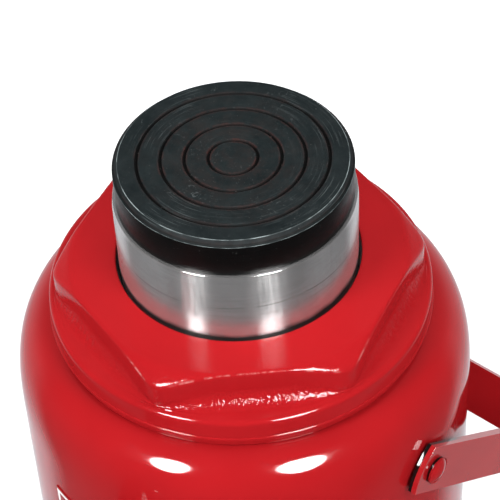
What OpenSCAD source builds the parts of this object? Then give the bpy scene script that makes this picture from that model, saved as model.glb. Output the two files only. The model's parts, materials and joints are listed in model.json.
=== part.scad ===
// Hydraulic bottle jack with a swinging carrying bail.
// Millimetres. Origin: ram axis at the underside of the base. +Z up, pump on -Y, bail pivots on +X and -X.

/* [Stack] */
// Height of the flat top of the hexagonal cap above the floor
cap_top_z = 260; // [255:1:275]
// Thickness of the base plate
base_t = 32; // [30:1:36]

/* [Ram and saddle] */
// Diameter of the ram
ram_d = 85; // [80:0.5:86]
// Gap between the cap and the underside of the saddle
ram_exposed = 29.2; // [24:0.2:34]
// Diameter of the saddle
saddle_d = 82.6; // [70:0.2:84]
// Thickness of the saddle
saddle_t = 14.9; // [12:0.1:18]
// Bore of the pressure cylinder
cylinder_bore = 90; // [90:0.5:92]

/* [Tank] */
// Outside diameter of the reservoir tank
tank_d = 167.2; // [164:0.2:168]
// Wall thickness of the tank
tank_wall = 4; // [3:0.5:5]
// Height over which the tank's shoulder rounds over
shoulder_h = 36; // [30:1:40]
// Squareness of the shoulder curve, 2 is an ellipse
shoulder_power = 3.25; // [2.2:0.05:4]

/* [Cap] */
// Distance across the flats of the cap's hexagon
hex_flats = 117.4; // [114:0.2:119]
// Turn of the hexagon about the ram axis, in degrees
hex_turn = 44.4; // [0:0.2:60]
// Diameter of the cap's round flange
flange_d = 138.4; // [134:0.2:142]

/* [Pump] */
// Distance of the pump axis from the ram axis
pump_y = 132; // [131:0.5:136]
// Diameter of the pump plunger
plunger_d = 20; // [18:0.5:20]
// Distance from the fulcrum pin to the plunger pin, measured level
lever_arm = 32; // [30:0.5:32]
// Angle of the lever below the level at the bottom of the stroke
lever_drop = 21; // [15:1:22]
// Angle of the handle socket above the level at the bottom of the stroke
socket_angle = 25; // [20:1:30]

/* [Bail] */
// Width of the bail's strap
strap_w = 19; // [16:0.5:22]
// Thickness of the bail's strap
strap_t = 3.2; // [3:0.1:3.4]
// Distance from the pivot to the inside of the cross bar
bail_reach = 114; // [112:1:120]
// Angle of the bail below the level where it rests on the tank
bail_drop = 38; // [30:1:38]

/* [Hidden] */
$fn = 96;

fit = 0.06;        // radial clearance of a running fit
gap = 0.3;         // clearance between neighbours that only pass each other
e = 0.5;           // overshoot of a cutting tool past a face

ram_r = ram_d / 2;
bore_r = cylinder_bore / 2;
tank_r = tank_d / 2;
saddle_z = cap_top_z + ram_exposed;
saddle_top_z = saddle_z + saddle_t;

// Tank and cap levels
flange_z = cap_top_z - 23.2;
flange_top_z = cap_top_z - 13.4;
shoulder_top_z = cap_top_z - 25.9;
shoulder_z = shoulder_top_z - shoulder_h;
shoulder_r = 55.5;
mouth_r = 63;
flange_r = flange_d / 2;
rim_round = 2;
hex_corner_r = 66.6;     // reach of the hexagon's cut corners
hex_corner_top_r = 59.6; // the same at the top, after their chamfer
hex_chamfer_h = 4.2;
cap_hole_r = 44.1;
skirt_r = 62;
skirt_z = cap_top_z - 52;
thread_r = 56;
guide_z = cap_top_z - 20;
bush_r = 47;
wiper_z = cap_top_z - 10;
wiper_r = 48.5;

// Base levels
socket_floor_z = 18;
boss_z = base_t + 12;
boss_r = 68;
groove_depth = 2.5;
base_front_y = -167;
base_back_y = 97;
base_half_x = 93;
base_corner_r = 26;
base_step = 3;          // the top face is this much smaller all round
pump_boss_r = 29;
pump_boss_z = base_t + 14;

// Ram foot levels
nut_z = 40;
washer_z = nut_z + 10;
cup_z = washer_z + 3;
head_z = cup_z + 7;
ram_z = head_z + 14;
spigot_r = 24;
crown_r = 17;
crown_h = 9;

// Pump levels
pump_floor_z = 24;
pump_bore_r = plunger_d / 2 + 0.05;
pump_out_r = 20;
pump_seat_r = 24;
pump_top_z = 92;
gland_top_z = 104;
fulcrum_y = -pump_y + lever_arm;
pin_low_z = 122;
fulcrum_z = pin_low_z + lever_arm * tan(lever_drop);
pin_r = 6;
fork_in = plunger_d / 2 + 1;
fork_out = fork_in + 8;
plate_in = fork_out + 1;
plate_out = plate_in + 8;
socket_r = 22;
socket_bore_r = 16.25;
socket_len = 92;
socket_root = 24;
socket_depth = 72;
slot_near = lever_arm - 0.6;
slot_far = lever_arm / cos(lever_drop) + 0.6;
slot_r = pin_r + 0.35;

// Valves in the base
valve_z = 17;
release_x = -58;
safety_x = 68;
delivery_x = 43;
delivery_y = -134;
delivery_seat_z = 21;
delivery_boss_r = 12;
delivery_boss_z = base_t + 6;
chamber_r = 6.5;   // chambers over the suction, delivery and safety balls
duct_r = 3;        // upright ducts to the reservoir
return_x = 58;
return_y = -46;
inlet_z = 8;
strainer_y = -73;
strainer_r = 4.2;
gland_r = 11;
gland_bore_r = 8;
cover_r = 9;
suction_seat_z = 11;
release_seat_y = -112.5;
safety_seat_y = -115.5;
ball_r = 4;
passage_r = 2.5;
drill_r = 2.2;
seat_rise = sqrt(ball_r * ball_r - passage_r * passage_r) + 0.1;
release_ball_y = release_seat_y - seat_rise;
safety_ball_y = safety_seat_y - seat_rise;
pocket_r = 30;
pocket_z = 8;
bolt_x = 36.5;
bolt_depth = 7;
bolt_r = 3;
foot_t = 6;        // feet of the fulcrum bracket
filler_z = 186;
filler_r = 7;

// Label plate
label_z = cap_top_z - 104.4;
label_half_w = 23.2;
label_half_h = 33;
label_t = 0.45;

// Bail
bail_z = cap_top_z - 57;
strap_in_x = 84.2;
strap_out_x = strap_in_x + strap_t;
rivet_r = 3.5;
rivet_head_r = 5.3;
rivet_head_h = 1.9;
rivet_play = 0.9;  // free space between the strap and the stud's head
bend_r = 16;
end_r = 2.4;       // corners of the strap's ends
end_round_r = 22.5; // bow of the strap's ends

// ---------- shared shapes ----------

// Hollow round bar, standing on z
module ring(r_out, r_in, z0, z1) {
    translate([0, 0, z0]) difference() {
        cylinder(r = r_out, h = z1 - z0);
        translate([0, 0, -e]) cylinder(r = r_in, h = z1 - z0 + 2 * e);
    }
}

// Round rod, standing on z
module rod(r, z0, z1) {
    translate([0, 0, z0]) cylinder(r = r, h = z1 - z0);
}

// Rod whose axis runs along x
module rod_x(r, x0, x1) {
    translate([x0, 0, 0]) rotate([0, 90, 0]) cylinder(r = r, h = x1 - x0);
}

// Rod whose axis runs along y, from y0 to the larger y1
module rod_y(r, y0, y1) {
    translate([0, y1, 0]) rotate([90, 0, 0]) cylinder(r = r, h = y1 - y0);
}

// Flat shape with four round corners between two corner points
module rounded(x0, y0, x1, y1, r) {
    translate([x0 + r, y0]) square([x1 - x0 - 2 * r, y1 - y0]);
    translate([x0, y0 + r]) square([x1 - x0, y1 - y0 - 2 * r]);
    for (x = [x0 + r, x1 - r], y = [y0 + r, y1 - r]) translate([x, y]) circle(r = r);
}

// Flat bar with round ends from the origin to a distance along x
module capsule(len, r) {
    circle(r = r);
    translate([len, 0]) circle(r = r);
    translate([0, -r]) square([len, 2 * r]);
}

// Drilled passage between two points
module passage(from, to) {
    d = to - from;
    translate(from) rotate([0, acos(d[2] / norm(d)), atan2(d[1], d[0])])
        cylinder(r = drill_r, h = norm(d));
}

// Bore with a conical ball seat at z = 0, a passage below it and a chamber above it
module valve_bore(r, below, above) {
    rotate_extrude() polygon([[0, -below], [passage_r, -below], [passage_r, 0],
        [r, 2.5], [r, above], [0, above]]);
}

// Hexagon by its distance across flats
module hexagon(flats) {
    circle(r = flats / sqrt(3), $fn = 6);
}

// Hexagonal head whose upper corners are chamfered
module hex_head(flats, h) intersection() {
    linear_extrude(h) hexagon(flats);
    rod_cone(flats * 0.59, flats * 0.49, h);
}

// Upright round bar that narrows to r1 over its top
module rod_cone(r0, r1, h) {
    slope = 0.5;
    drop = (r0 - r1) * slope;
    cylinder(r = r0, h = h - drop);
    translate([0, 0, h - drop]) cylinder(r1 = r0, r2 = r1, h = drop);
}

// Closed coil standing on z: a round wire swept along a helix
function coil_point(r, pitch, a) = [r * cos(a), r * sin(a), pitch * a / 360];
module coil(r, wire, pitch, turns) {
    sides = 8;
    per_turn = 14;
    n = round(turns * per_turn);
    slope = atan(pitch / (2 * PI * r));
    pts = [for (i = [0 : n], k = [0 : sides - 1])
        let (a = i * 360 / per_turn, b = k * 360 / sides, c = coil_point(r, pitch, a))
        [c[0] + wire * (cos(b) * cos(a) + sin(b) * sin(slope) * sin(a)),
         c[1] + wire * (cos(b) * sin(a) - sin(b) * sin(slope) * cos(a)),
         c[2] + wire * sin(b) * cos(slope)]];
    wall = [for (i = [0 : n - 1], k = [0 : sides - 1])
        let (m = (k + 1) % sides)
        [i * sides + k, (i + 1) * sides + k, (i + 1) * sides + m, i * sides + m]];
    ends = [[for (k = [0 : sides - 1]) k], [for (k = [sides - 1 : -1 : 0]) n * sides + k]];
    polyhedron(points = pts, faces = concat(wall, ends), convexity = 10);
}

// Turned cross-section of the tank's shoulder, from the mouth out to the wall
function shoulder(r_wall, height) = [for (i = [0 : 20])
    let (t0 = asin(pow((mouth_r - shoulder_r) / (r_wall - shoulder_r), shoulder_power / 2)),
         t = t0 + (90 - t0) * i / 20)
    [shoulder_r + (r_wall - shoulder_r) * pow(sin(t), 2 / shoulder_power),
     shoulder_z + height * pow(max(cos(t), 0), 2 / shoulder_power)]];

// ---------- housing ----------

module base_outline(inset)
    rounded(-base_half_x + inset, base_front_y + inset, base_half_x - inset, base_back_y - inset,
        base_corner_r - inset);

module base() color("firebrick") difference() {
    union() {
        linear_extrude(base_t - base_step) base_outline(0);
        linear_extrude(base_t) base_outline(base_step);
        rod(boss_r, base_t, boss_z);
        translate([0, -pump_y, 0]) rod(pump_boss_r, base_t, pump_boss_z);
        translate([delivery_x, delivery_y, 0]) rod(delivery_boss_r, base_t, delivery_boss_z);
    }
    // seat of the pressure cylinder
    rod(thread_r, socket_floor_z, boss_z + e);
    // groove of the lower tank gasket
    ring(tank_r + 0.6, tank_r - tank_wall - 0.6, base_t - groove_depth, base_t + e);
    // pump seat, chamber and suction valve
    translate([0, -pump_y, 0]) {
        rod(pump_seat_r, pump_floor_z, pump_boss_z + e);
        translate([0, 0, suction_seat_z]) valve_bore(chamber_r, 4, pump_floor_z - suction_seat_z + e);
    }
    // inlet from the reservoir to the suction valve, and the strainer's pocket
    translate([0, 0, inlet_z]) rod_y(drill_r, base_front_y - e, strainer_y);
    translate([0, strainer_y, 0]) rod(duct_r, inlet_z - 2, base_t - 4);
    translate([0, strainer_y, 0]) rod(strainer_r, base_t - 5, base_t + e);
    // pocket under the pressure cylinder, where the pressure passages meet
    rod(pocket_r, pocket_z, socket_floor_z + e);
    // delivery valve
    translate([delivery_x, delivery_y, delivery_seat_z])
        valve_bore(chamber_r, 7, delivery_boss_z + e - delivery_seat_z);
    passage([0, -pump_y, valve_z], [delivery_x, delivery_y, valve_z]);
    passage([delivery_x, delivery_y, 26], [8, -18, 12]);
    // release valve
    translate([release_x, 0, valve_z]) {
        rod_y(gland_r, base_front_y - e, base_front_y + 18);
        rod_y(gland_bore_r + fit, base_front_y, -128);
        translate([0, release_seat_y, 0]) rotate([90, 0, 0]) valve_bore(5.5, 5, 17);
    }
    // safety valve
    translate([safety_x, 0, valve_z]) {
        rod_y(cover_r, base_front_y - e, base_front_y + 20);
        translate([0, safety_seat_y, 0]) rotate([90, 0, 0]) valve_bore(chamber_r, 5, 40);
    }
    // both have a passage from the pocket and one back to the reservoir
    for (x = [release_x, safety_x]) {
        passage([x, -110, valve_z], [sign(x) * 22, -10, 12]);
        translate([x, -122, 0]) rod(duct_r, valve_z, 26.5);
        passage([x, -122, 23], [sign(x) * return_x, return_y, 23]);
        translate([sign(x) * return_x, return_y, 0]) rod(duct_r, 19, base_t + e);
    }
    // bolt holes of the fulcrum bracket
    at_bolts() rod(bolt_r, base_t - bolt_depth, base_t + e);
}

module pressure_cylinder() color("slategray") difference() {
    union() {
        rod(thread_r, socket_floor_z + 2, boss_z + 4);
        rod(thread_r - 1.5, boss_z + 3, skirt_z - 3);
        rod(thread_r, skirt_z - 4, guide_z);
    }
    rod(bore_r, socket_floor_z, guide_z + e);
    // groove of the ring that seals the cylinder in the cap
    ring(thread_r + e, thread_r - 2.7, guide_z - 8, guide_z - 4.5);
}

module cylinder_gasket() color("peru") ring(thread_r - 0.2, bore_r + 0.5, socket_floor_z, socket_floor_z + 2);

module reservoir_tank() color("crimson") difference() {
    rotate_extrude() polygon(concat(
        [[mouth_r, shoulder_top_z - tank_wall], [mouth_r, shoulder(tank_r, shoulder_h)[0][1]]],
        [for (i = [1 : 20]) shoulder(tank_r, shoulder_h)[i]],
        [[tank_r, base_t], [tank_r - tank_wall, base_t]],
        [for (i = [20 : -1 : 1]) shoulder(tank_r - tank_wall, shoulder_h - tank_wall)[i]]));
    // filler hole on the back
    translate([0, 0, filler_z]) rod_y(filler_r, tank_r - 12, tank_r + 5);
    // holes of the two bail studs
    translate([0, 0, bail_z]) rod_x(rivet_r, -tank_r - 5, tank_r + 5);
}

module tank_gasket_lower() color("black")
    ring(tank_r + 0.5, tank_r - tank_wall - 0.5, base_t - groove_depth, base_t);

module tank_gasket_upper() color("black") ring(68.2, mouth_r + 0.6, shoulder_top_z - 0.1, flange_z);

module top_cap() color("red") difference() {
    union() {
        // flange with a rounded rim, and the flare up to the hexagon
        rotate_extrude() polygon(concat(
            [[0, flange_z], [flange_r - 0.8, flange_z], [flange_r, flange_z + 0.8]],
            [for (a = [0 : 15 : 90])
                [flange_r - rim_round + rim_round * cos(a), flange_top_z - rim_round + rim_round * sin(a)]],
            [[0, flange_top_z]]));
        // hexagon with chamfered corners
        intersection() {
            rotate([0, 0, hex_turn]) translate([0, 0, flange_z + 2])
                linear_extrude(cap_top_z - flange_z - 2) hexagon(hex_flats);
            union() {
                rod(hex_corner_r, flange_z, cap_top_z - hex_chamfer_h);
                translate([0, 0, cap_top_z - hex_chamfer_h])
                    cylinder(r1 = hex_corner_r, r2 = hex_corner_top_r, h = hex_chamfer_h);
            }
        }
        // threaded skirt inside the tank
        rod(skirt_r, skirt_z, flange_z + e);
    }
    rod(thread_r, skirt_z - e, guide_z);
    rod(bush_r, guide_z - e, wiper_z - 1);
    rod(ram_r + 0.8, wiper_z - 2, wiper_z + e);
    rod(wiper_r, wiper_z, cap_top_z - 3.5);
    rod(cap_hole_r, cap_top_z - 4, cap_top_z + e);
    translate([0, 0, cap_top_z - 1]) cylinder(r1 = cap_hole_r, r2 = cap_hole_r + 1.02, h = 1.02);
}

module cap_o_ring() color("black")
    rotate_extrude() translate([thread_r - 1.3, guide_z - 6.25]) circle(r = 1.3, $fn = 24);

module guide_bush() color("goldenrod") ring(bush_r, ram_r + fit, guide_z, wiper_z - 1);

module wiper_ring() color("dimgray") difference() {
    ring(wiper_r, ram_r + gap, wiper_z, cap_top_z - 3.5);
    // relief behind the lip
    ring(wiper_r - 2, ram_r + 1.6, cap_top_z - 5.5, cap_top_z - 3);
}

module filler_plug() color("black") translate([0, 0, filler_z]) difference() {
    union() {
        rod_y(filler_r - gap, tank_r - 6.5, tank_r + 1);
        rod_y(11, tank_r + 0.35, tank_r + 3.2);
        rod_y(6.5, tank_r + 3, tank_r + 5);
    }
    rod_y(3.4, tank_r - 7, tank_r - 1);
}

// Thin plate rolled to the tank, on the pump side
module label_plate() color("whitesmoke") intersection() {
    ring(tank_r + label_t, tank_r, label_z - label_half_h, label_z + label_half_h);
    translate([0, 0, label_z]) rotate([90, 0, 0]) linear_extrude(tank_r + 5)
        rounded(-label_half_w, -label_half_h, label_half_w, label_half_h, 1);
}

// ---------- bail ----------

// Stud through the tank wall with a collar behind the strap and a domed head in front of it
module handle_rivet(side) mirror([side > 0 ? 0 : 1, 0, 0]) translate([0, 0, bail_z]) {
    rod_x(7, tank_r + 0.05, strap_in_x - 0.1);
    rod_x(rivet_r, tank_r - tank_wall, strap_out_x + rivet_play + e);
    dome_r = (rivet_head_r * rivet_head_r + rivet_head_h * rivet_head_h) / (2 * rivet_head_h);
    translate([strap_out_x + rivet_play, 0, 0]) rotate([0, 90, 0]) difference() {
        translate([0, 0, rivet_head_h - dome_r]) sphere(r = dome_r);
        translate([0, 0, -2 * dome_r]) cylinder(r = 2 * dome_r, h = 2 * dome_r);
    }
}
module handle_rivet_right() color("red") handle_rivet(1);
module handle_rivet_left() color("red") handle_rivet(-1);

// U of flat strap: two arms, two bends and a cross bar, drawn level and then let down
module carry_handle() color("red")
    translate([0, 0, bail_z]) rotate([-bail_drop, 0, 0]) difference() {
        intersection() {
            translate([0, 0, -strap_w / 2]) linear_extrude(strap_w) difference() {
                rounded(-strap_out_x, -60, strap_out_x, bail_reach + strap_t, bend_r + strap_t);
                rounded(-strap_in_x, -80, strap_in_x, bail_reach, bend_r);
                translate([-100, -90]) square([200, 90 - strap_w / 2]);
            }
            // bowed ends with small round corners
            rotate([0, 90, 0]) translate([0, 0, -100]) linear_extrude(200) intersection() {
                rounded(-strap_w / 2, -strap_w / 2, strap_w / 2, 140, end_r);
                union() {
                    translate([0, end_round_r - strap_w / 2]) circle(r = end_round_r);
                    translate([-strap_w, 5]) square([2 * strap_w, 140]);
                }
            }
        }
        rod_x(rivet_r + fit, -strap_out_x - e, strap_out_x + e);
    }

// ---------- ram ----------

module ram() color("silver") {
    rod(spigot_r, nut_z + 2, ram_z + e);
    rod(ram_r - 1, ram_z, ram_z + 1.01);
    rod(ram_r, ram_z + 1, saddle_z - 1.2);
    translate([0, 0, saddle_z - 1.21]) cylinder(r1 = ram_r, r2 = ram_r - 0.4, h = 1.21);
    rod(crown_r, saddle_z - e, saddle_z + crown_h - 1);
}

module saddle() color("darkslategray") difference() {
    union() {
        rod(saddle_d / 2, saddle_z, saddle_top_z - 1.9);
        translate([0, 0, saddle_top_z - 1.91]) cylinder(r1 = saddle_d / 2, r2 = saddle_d / 2 - 1.9, h = 1.91);
    }
    // ring grooves that stop the load from slipping
    for (r = [8.5 : 8.15 : 34]) ring(r + 0.7, r - 0.7, saddle_top_z - 1, saddle_top_z + e);
    rod(crown_r, saddle_z - e, saddle_z + crown_h);
}

module piston_head() color("gray") ring(bore_r - 0.08, spigot_r, head_z, ram_z);

module piston_cup_seal() color("darkgreen") difference() {
    ring(bore_r - gap, spigot_r, cup_z, head_z);
    ring(bore_r - 3.5, spigot_r + 5, cup_z - e, cup_z + 4);
}

module seal_washer() color("gray") ring(38, spigot_r, washer_z, cup_z);

module piston_nut() color("gray") translate([0, 0, nut_z]) difference() {
    linear_extrude(washer_z - nut_z) hexagon(66);
    translate([0, 0, -e]) cylinder(r = spigot_r, h = 20);
}

// ---------- pump ----------

module pump_cylinder() color("dimgray") translate([0, -pump_y, 0]) difference() {
    union() {
        rod(pump_seat_r, pump_floor_z + 2, pump_boss_z + 2);
        translate([0, 0, pump_boss_z + 2]) hex_head(46, 12);
        rod(pump_out_r, pump_boss_z + 2, pump_top_z);
    }
    rod(pump_bore_r, pump_floor_z, pump_top_z + e);
    rod(14, pump_top_z - 12, pump_top_z + e);
}

module pump_washer() color("chocolate") translate([0, -pump_y, 0])
    ring(pump_seat_r - 0.3, 12, pump_floor_z, pump_floor_z + 2);

module plunger_seal() color("black") translate([0, -pump_y, 0])
    ring(14, plunger_d / 2 + gap, pump_top_z - 12, pump_top_z - 5);

module pump_gland_nut() color("dimgray") translate([0, -pump_y, 0]) difference() {
    union() {
        rod(14, pump_top_z - 5, pump_top_z + e);
        translate([0, 0, pump_top_z]) hex_head(34, gland_top_z - pump_top_z);
    }
    rod(pump_bore_r + 0.04, pump_top_z - 6, gland_top_z + e);
}

module pump_plunger() color("silver") translate([0, -pump_y, 0]) difference() {
    union() {
        rod(plunger_d / 2 - 1, pump_floor_z + 3, pump_floor_z + 4.01);
        rod(plunger_d / 2, pump_floor_z + 4, pin_low_z);
        translate([0, 0, pin_low_z]) rod_x(10, -plunger_d / 2, plunger_d / 2);
    }
    translate([0, 0, pin_low_z]) rod_x(pin_r + fit, -20, 20);
}

module plunger_pin() color("gray") translate([0, -pump_y, pin_low_z])
    rod_x(pin_r, -fork_out - 4, fork_out + 4);

// The four bolts of the fulcrum bracket
module at_bolts() for (x = [-1, 1], y = [-3, 7]) translate([x * bolt_x, fulcrum_y + y, 0]) children();

// Two snap rings just outside the fork
module clips(x) {
    for (s = [-1, 1]) rotate([0, 90, 0]) translate([0, 0, s > 0 ? x : -x - 1.5])
        difference() {
            cylinder(r = pin_r + 3.4, h = 1.5);
            translate([0, 0, -e]) cylinder(r = pin_r, h = 3);
            translate([-2, 0, -e]) cube([4, 12, 3]);
        }
}

module plunger_pin_clips() color("black") translate([0, -pump_y, pin_low_z]) clips(fork_out + 0.4);

// Fork and tube that take the pump lever, turned about the plunger pin
module handle_socket() color("firebrick") translate([0, -pump_y, pin_low_z]) difference() {
    union() {
        // fork cheeks: back to the fulcrum, out to the tube
        for (x = [-fork_out, fork_in]) translate([x, 0, 0]) rotate([90, 0, 90])
            linear_extrude(fork_out - fork_in) {
                rotate(lever_drop) capsule(slot_far - 1, 10.5);
                rotate(180 - socket_angle) capsule(socket_root + 8, 12);
            }
        // tube
        rotate([90 - socket_angle, 0, 0]) rod(socket_r, socket_root, socket_root + socket_len);
    }
    rod_x(pin_r + fit, -30, 30);
    // slot of the fulcrum pin
    translate([-30, 0, 0]) rotate([90, 0, 90]) linear_extrude(60) rotate(lever_drop)
        translate([slot_near, 0]) capsule(slot_far - slot_near, slot_r);
    // bore for the lever, and its clamp screw's hole
    rotate([90 - socket_angle, 0, 0]) {
        rod(socket_bore_r, socket_root + socket_len - socket_depth, socket_root + socket_len + e);
        translate([0, 0, socket_root + socket_len - 18]) rod_x(4, 10, 30);
    }
}

module socket_screw() color("black") translate([0, -pump_y, pin_low_z])
    rotate([90 - socket_angle, 0, 0]) translate([0, 0, socket_root + socket_len - 18]) {
        rod_x(4, socket_bore_r + 0.4, socket_r + 4);
        rotate([0, 90, 0]) translate([0, 0, socket_r + 3]) hex_head(13, 5);
    }

module fulcrum_bracket() color("firebrick") difference() {
    union() {
        for (x = [-plate_out, plate_in]) translate([x, 0, 0]) rotate([90, 0, 90])
            linear_extrude(plate_out - plate_in) {
                translate([fulcrum_y - 9, base_t]) square([21, fulcrum_z - base_t]);
                translate([fulcrum_y, fulcrum_z]) circle(r = 10.5);
            }
        // web on the tank side of the pump and the two feet
        translate([-plate_in, fulcrum_y, pump_boss_z + 20]) cube([2 * plate_in, 7, 22]);
        for (s = [-1, 1]) translate([s > 0 ? plate_out - 1 : -plate_out - 15, fulcrum_y - 9, base_t])
            cube([16, 21, foot_t]);
    }
    translate([0, fulcrum_y, fulcrum_z]) rod_x(pin_r, -40, 40);
    at_bolts() rod(bolt_r, base_t - e, base_t + foot_t + e);
}

module bracket_bolts() color("gray")
    at_bolts() {
        rod(bolt_r, base_t - bolt_depth + gap, base_t + foot_t);
        translate([0, 0, base_t + foot_t]) hex_head(9, 4);
    }

module fulcrum_pin() color("gray") translate([0, fulcrum_y, fulcrum_z])
    rod_x(pin_r, -plate_out - 4, plate_out + 4);

module fulcrum_pin_clips() color("black") translate([0, fulcrum_y, fulcrum_z]) clips(plate_out + 0.1);

// ---------- valves ----------

module release_gland() color("dimgray") translate([release_x, 0, valve_z]) difference() {
    union() {
        rod_y(gland_r, base_front_y, base_front_y + 14);
        translate([0, base_front_y, 0]) rotate([90, 0, 0]) hex_head(28, 7);
    }
    rod_y(gland_bore_r + fit, base_front_y - 8, base_front_y + 15);
}

// Screw with a flat tongue that the notched end of the pump lever turns
module release_screw() color("gray") translate([release_x, 0, valve_z]) {
    rod_y(gland_bore_r, base_front_y - 14, -136);
    difference() {
        rod_y(4.5, -137, release_ball_y - 2.2);
        translate([0, release_ball_y, 0]) sphere(r = ball_r + fit);
    }
    difference() {
        rod_y(11.5, base_front_y - 30, base_front_y - 13);
        for (x = [-15, 4]) translate([x, base_front_y - 31, -15]) cube([11, 13, 30]);
    }
}

module release_screw_seal() color("black") translate([release_x, 0, valve_z]) rotate([90, 0, 0])
    translate([0, 0, -base_front_y - 16.4]) rotate_extrude() translate([9.6, 0]) circle(r = 1.3, $fn = 24);

module release_ball() color("silver") translate([release_x, release_ball_y, valve_z]) sphere(r = ball_r);

module suction_ball() color("silver")
    translate([0, -pump_y, suction_seat_z + seat_rise]) sphere(r = ball_r);

// Cross-drilled disc that keeps the suction ball below the plunger
module suction_retainer() color("gray") translate([0, -pump_y, 0]) difference() {
    rod(chamber_r, 21.2, pump_floor_z);
    for (a = [0 : 90 : 270]) rotate(a) translate([3.6, 0, 0]) rod(1.3, 20, 26);
}

module delivery_ball() color("silver")
    translate([delivery_x, delivery_y, delivery_seat_z + seat_rise]) sphere(r = ball_r);

module delivery_spring() color("silver")
    translate([delivery_x, delivery_y, delivery_seat_z + seat_rise + 3.4]) coil(3.7, 0.5, 1.9, 2);

module delivery_plug() color("dimgray") translate([delivery_x, delivery_y, 0]) difference() {
    union() {
        rod(chamber_r, base_t, delivery_boss_z + 1);
        translate([0, 0, delivery_boss_z]) hex_head(19, 6);
    }
    translate([0, 0, base_t + 8]) linear_extrude(6) hexagon(8);
}

module safety_ball() color("silver") translate([safety_x, safety_ball_y, valve_z]) sphere(r = ball_r);

module safety_spring() color("silver") translate([safety_x, safety_ball_y - 3.4, valve_z])
    rotate([90, 0, 0]) coil(4.6, 0.8, 4, 4);

module safety_adjuster() color("gray") translate([safety_x, 0, valve_z]) difference() {
    rod_y(chamber_r, base_front_y + 21, -139.2);
    rod_y(1.6, base_front_y + 20, -139);
}

module safety_cover() color("dimgray") translate([safety_x, 0, valve_z]) difference() {
    union() {
        rod_y(cover_r, base_front_y, base_front_y + 12);
        translate([0, base_front_y, 0]) rotate([90, 0, 0]) hex_head(24, 6);
    }
    translate([0, base_front_y - 2, 0]) rotate([90, 0, 0]) linear_extrude(6) hexagon(10);
}

module inlet_strainer() color("goldenrod") translate([0, strainer_y, 0]) difference() {
    rod(strainer_r, base_t - 5, base_t + 3);
    rod(strainer_r - 1, base_t - 6, base_t + 2);
    for (a = [0 : 45 : 135]) rotate(a) translate([0, 0, base_t + 1]) rod_x(0.6, -6, 6);
}

// Plugs that close the outer end of the drilled inlet passage
module passage_plugs() color("gray") translate([0, 0, inlet_z])
    rod_y(drill_r, base_front_y + 1, base_front_y + 12);

base();
pressure_cylinder();
cylinder_gasket();
reservoir_tank();
tank_gasket_lower();
tank_gasket_upper();
top_cap();
cap_o_ring();
guide_bush();
wiper_ring();
filler_plug();
label_plate();
handle_rivet_right();
handle_rivet_left();
carry_handle();
ram();
saddle();
piston_head();
piston_cup_seal();
seal_washer();
piston_nut();
pump_cylinder();
pump_washer();
pump_gland_nut();
plunger_seal();
pump_plunger();
plunger_pin();
plunger_pin_clips();
handle_socket();
socket_screw();
fulcrum_bracket();
bracket_bolts();
fulcrum_pin();
fulcrum_pin_clips();
release_screw();
release_screw_seal();
release_gland();
release_ball();
suction_ball();
suction_retainer();
delivery_ball();
delivery_spring();
delivery_plug();
safety_ball();
safety_spring();
safety_adjuster();
safety_cover();
inlet_strainer();
passage_plugs();
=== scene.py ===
"""Bottle jack with a carrying bail: its looks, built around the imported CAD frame.

Shapes are drawn in millimetres in the CAD frame, and new_mesh() turns them into metres.
Angles are in degrees, and materials work in metres on each piece's own coordinates.
"""
import json
from math import acos, atan2, cos, degrees, hypot, pi, radians, sin, tan

import bmesh
import bpy
from mathutils import Matrix, Vector, noise


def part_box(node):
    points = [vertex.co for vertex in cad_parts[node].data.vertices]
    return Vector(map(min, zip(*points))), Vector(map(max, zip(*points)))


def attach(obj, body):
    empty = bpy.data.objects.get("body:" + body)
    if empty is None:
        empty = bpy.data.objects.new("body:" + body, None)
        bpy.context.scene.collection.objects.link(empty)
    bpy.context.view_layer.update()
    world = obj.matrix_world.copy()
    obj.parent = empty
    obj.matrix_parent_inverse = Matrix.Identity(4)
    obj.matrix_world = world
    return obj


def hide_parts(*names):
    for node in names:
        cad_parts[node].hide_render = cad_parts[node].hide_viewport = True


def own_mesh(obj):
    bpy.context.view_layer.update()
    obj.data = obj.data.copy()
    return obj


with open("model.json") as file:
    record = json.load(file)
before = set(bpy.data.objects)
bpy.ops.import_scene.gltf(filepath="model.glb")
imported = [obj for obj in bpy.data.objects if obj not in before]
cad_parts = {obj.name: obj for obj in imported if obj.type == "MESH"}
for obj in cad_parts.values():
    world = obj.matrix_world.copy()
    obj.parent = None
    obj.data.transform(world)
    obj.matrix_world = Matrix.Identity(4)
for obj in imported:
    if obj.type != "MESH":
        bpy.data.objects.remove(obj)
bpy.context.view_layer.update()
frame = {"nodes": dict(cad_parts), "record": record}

MM = 0.001
BODY_OF = {node: body for body, nodes in frame["record"]["behaviour"]["bodies"].items()
           for node in nodes}
SLOT_OF = {name: node.material_slots[0].material.name for name, node in frame["nodes"].items()}


def low(node):
    """A CAD node's lowest corner, in millimetres."""
    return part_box(node)[0] / MM


def high(node):
    """A CAD node's highest corner, in millimetres."""
    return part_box(node)[1] / MM


def middle(node):
    """The centre of a CAD node's box, in millimetres."""
    return (low(node) + high(node)) / 2


# ---------- camera, floor and light ----------

VIEW_TURN = 42.4          # the view's own frame, about the ram axis
CAMERA_BACK = 495.9       # from the ram axis, level
CAMERA_Z = 762.6
CAMERA_YAW = 0.464
CAMERA_PITCH = 45.44
CAMERA_ROLL = -3.154
CAMERA_LENS = 143.76
LAMP_DISTANCE = 1.5       # metres from the tank's shoulder
SHOULDER_REACH = 0.075    # metres from the ram axis to where the lamps aim
MIRROR_GLOW = 72
ROOM_R = 5                # metres


def turned(azimuth, elevation):
    """Unit direction in the CAD frame. Azimuth 0 is towards the camera, and grows to its right."""
    level = cos(radians(elevation))
    view = Vector((sin(radians(azimuth)) * level, -cos(radians(azimuth)) * level,
                   sin(radians(elevation))))
    return Matrix.Rotation(radians(VIEW_TURN), 3, "Z") @ view


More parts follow.
